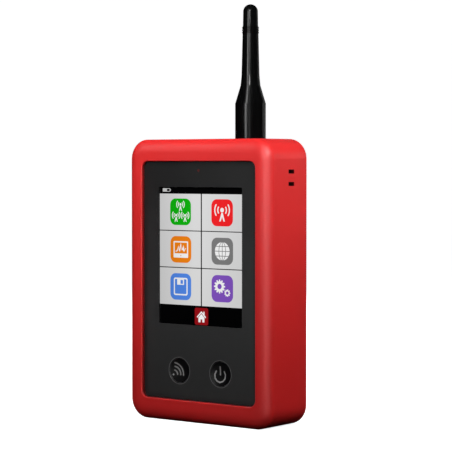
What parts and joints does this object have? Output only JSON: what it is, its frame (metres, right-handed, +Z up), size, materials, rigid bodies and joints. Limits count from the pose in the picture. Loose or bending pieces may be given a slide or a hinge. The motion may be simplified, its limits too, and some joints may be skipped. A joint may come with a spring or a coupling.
{
  "type": "hand-held spectrum analyzer",
  "caption": "Slim hand-held radio spectrum analyzer: touch screen over two round buttons, soft red protective boot, and a screw-on black whip antenna on the top edge.",
  "frame": {"origin": "middle of the boot's underside, on the surface it stands on", "axes": "+Z up along the antenna, +X to the right as the user sees the screen, +Y away from the user, so the screen faces -Y"},
  "size_m": [0.0894, 0.034, 0.2086],
  "materials": {
    "boot_silicone": "satin moulded silicone, fine matt texture",
    "case_plastic": "black moulded plastic, fine spark texture",
    "overlay_film": "dark grey front overlay, fine leather-like texture",
    "screen_glass": "gloss cover glass over the lit display",
    "display_cell": "display cell",
    "sheet_metal": "thin folded sheet",
    "carrier_plastic": "white moulded plastic",
    "flex_film": "amber ribbon film",
    "connector_plastic": "cream connector plastic",
    "board_laminate": "green solder mask",
    "chip_epoxy": "black moulded chip package",
    "module_laminate": "dark green module board",
    "tinned_steel": "tin-plated sheet",
    "steel": "zinc-plated steel",
    "black_steel": "black oxide steel screws",
    "gold_brass": "gold-plated brass",
    "dielectric": "white PTFE",
    "cable_jacket": "thin black coaxial jacket",
    "lead_red": "red lead insulation",
    "lead_black": "black lead insulation",
    "button_plastic": "polished black caps with a dished face",
    "switch_plastic": "black switch housing",
    "plunger_plastic": "brown switch plunger",
    "light_pipe": "dark red tinted clear light pipe",
    "led_epoxy": "surface-mounted LED",
    "sounder_plastic": "black sounder",
    "battery_wrap": "blue shrink-wrapped battery pack",
    "label_film": "blank silver label",
    "antenna_plastic": "semi-gloss black antenna moulding",
    "seal_rubber": "black soft seal",
    "copper": "bare copper radiator"
  },
  "bodies": {
    "case": {"protective_boot": "boot_silicone", "front_shell": "case_plastic", "rear_shell": "case_plastic", "rating_label": "label_film", "battery_pack": "battery_wrap", "battery_socket": "connector_plastic", "battery_lead_red": "lead_red", "battery_lead_black": "lead_black", "front_overlay": "overlay_film", "touch_glass": "screen_glass", "display_panel": "display_cell", "display_frame": "sheet_metal", "display_carrier": "carrier_plastic", "display_flex": "flex_film", "flex_connector": "connector_plastic", "light_pipe": "light_pipe", "status_led": "led_epoxy", "main_board": "board_laminate", "board_chips": "chip_epoxy", "radio_module": "module_laminate", "radio_shield": "tinned_steel", "coax_plug": "gold_brass", "coax_pigtail": "cable_jacket", "sounder": "sounder_plastic", "usb_socket": "steel", "case_screws": "black_steel", "board_screws": "steel", "antenna_jack": "gold_brass", "jack_insulator": "dielectric", "jack_washer": "gold_brass", "jack_nut": "gold_brass", "wireless_switch": "switch_plastic", "power_switch": "switch_plastic"},
    "power_key": {"power_button": "button_plastic", "power_switch_plunger": "plunger_plastic"},
    "wireless_key": {"wireless_button": "button_plastic", "wireless_switch_plunger": "plunger_plastic"},
    "antenna_foot": {"antenna_seal_ring": "seal_rubber"},
    "antenna": {"antenna_sleeve": "antenna_plastic", "antenna_tip_cap": "antenna_plastic", "antenna_coupling": "gold_brass", "antenna_insulator": "dielectric", "antenna_pin": "gold_brass", "antenna_radiator": "copper"},
    "battery_cover": {"battery_door": "case_plastic"}
  },
  "joints": [
    {"name": "power_press", "type": "slide", "parent": "case", "child": "power_key", "axis": [0, 1, 0], "range_m": [0, 0.0005], "stiffness_N_per_m": 3000},
    {"name": "wireless_press", "type": "slide", "parent": "case", "child": "wireless_key", "axis": [0, 1, 0], "range_m": [0, 0.0005], "stiffness_N_per_m": 3000},
    {"name": "antenna_lift", "type": "slide", "parent": "case", "child": "antenna_foot", "axis": [0, 0, 1], "range_m": [0, 0.0035]},
    {"name": "antenna_turn", "type": "hinge", "parent": "antenna_foot", "child": "antenna", "pos_m": [0.0205, 0, 0.1397], "axis": [0, 0, 1], "range_deg": [0, 1800]},
    {"name": "battery_cover_hinge", "type": "hinge", "parent": "case", "child": "battery_cover", "pos_m": [0, 0.0145, 0.02255], "axis": [-1, 0, 0], "range_deg": [0, 60]}
  ],
  "couplings": [
    {"joint": "antenna_turn", "follows": "antenna_lift", "rad_per_m": 8905.3}
  ]
}
